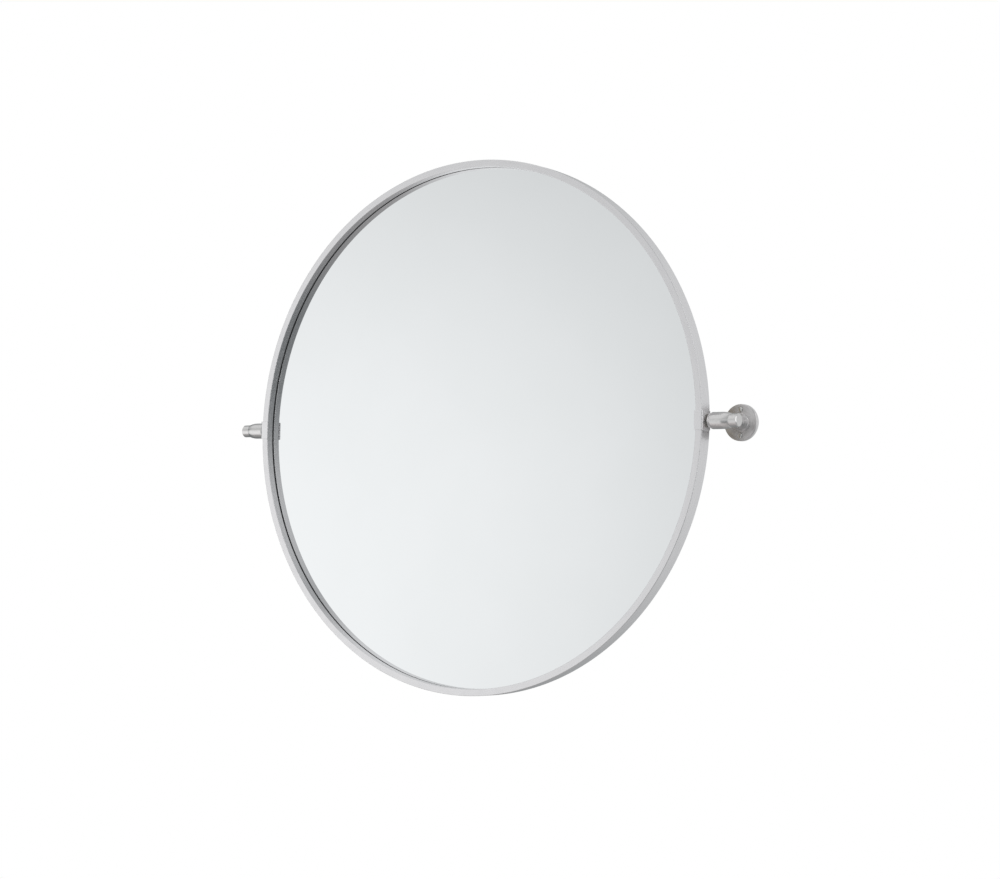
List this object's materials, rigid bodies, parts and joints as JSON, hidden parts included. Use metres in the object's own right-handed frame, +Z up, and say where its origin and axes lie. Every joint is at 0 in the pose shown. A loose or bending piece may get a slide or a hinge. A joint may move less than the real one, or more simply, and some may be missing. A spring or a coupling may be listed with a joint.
{
  "type": "pivot wall mirror",
  "caption": "Large round mirror in a deep satin steel ring, hung between two round wall flanges on side pivots so that it tips forward and back.",
  "frame": {"origin": "on the wall plane, level with the pivot axis and midway between the two wall flanges", "axes": "+X along the pivot axis to the viewer's right, +Y into the wall, +Z up"},
  "size_m": [0.862, 0.0682, 0.762],
  "materials": {
    "frame_steel": "satin, brushed along the ring",
    "fitting_steel": "satin, turned",
    "screw_steel": "bright",
    "silvered_glass": "polished",
    "black_rubber": "matte",
    "nylon": "matte",
    "fibreboard": "smooth pressed board"
  },
  "bodies": {
    "wall_mounts": {"wall_flange_right": "fitting_steel", "flange_screw_upper_right": "screw_steel", "flange_screw_lower_right": "screw_steel", "wall_post_right": "fitting_steel", "post_set_screw_right": "screw_steel", "post_stud_right": "screw_steel", "pivot_barrel_right": "fitting_steel", "end_cap_right": "fitting_steel", "friction_washer_right": "nylon", "wall_flange_left": "fitting_steel", "flange_screw_upper_left": "screw_steel", "flange_screw_lower_left": "screw_steel", "wall_post_left": "fitting_steel", "post_set_screw_left": "screw_steel", "post_stud_left": "screw_steel", "pivot_barrel_left": "fitting_steel", "end_cap_left": "fitting_steel", "friction_washer_left": "nylon"},
    "mirror_head": {"frame_ring": "frame_steel", "glazing_gasket": "black_rubber", "mirror_glass": "silvered_glass", "backing_board": "fibreboard", "tab_screw_1": "screw_steel", "tab_screw_2": "screw_steel", "tab_screw_3": "screw_steel", "tab_screw_4": "screw_steel", "tab_screw_5": "screw_steel", "tab_screw_6": "screw_steel", "tab_screw_7": "screw_steel", "tab_screw_8": "screw_steel", "wall_bumper_upper": "black_rubber", "wall_bumper_lower": "black_rubber", "frame_bracket_right": "frame_steel", "bracket_screw_upper_right": "screw_steel", "bracket_screw_lower_right": "screw_steel", "pivot_pin_right": "screw_steel", "spacer_washer_right": "fitting_steel", "spring_washer_right": "screw_steel", "lock_nut_right": "screw_steel", "frame_bracket_left": "frame_steel", "bracket_screw_upper_left": "screw_steel", "bracket_screw_lower_left": "screw_steel", "pivot_pin_left": "screw_steel", "spacer_washer_left": "fitting_steel", "spring_washer_left": "screw_steel", "lock_nut_left": "screw_steel"}
  },
  "joints": [
    {"name": "mirror_tilt", "type": "hinge", "parent": "wall_mounts", "child": "mirror_head", "pos_m": [0, -0.05, 0], "axis": [1, 0, 0], "range_deg": [-6.5, 6.5]}
  ]
}
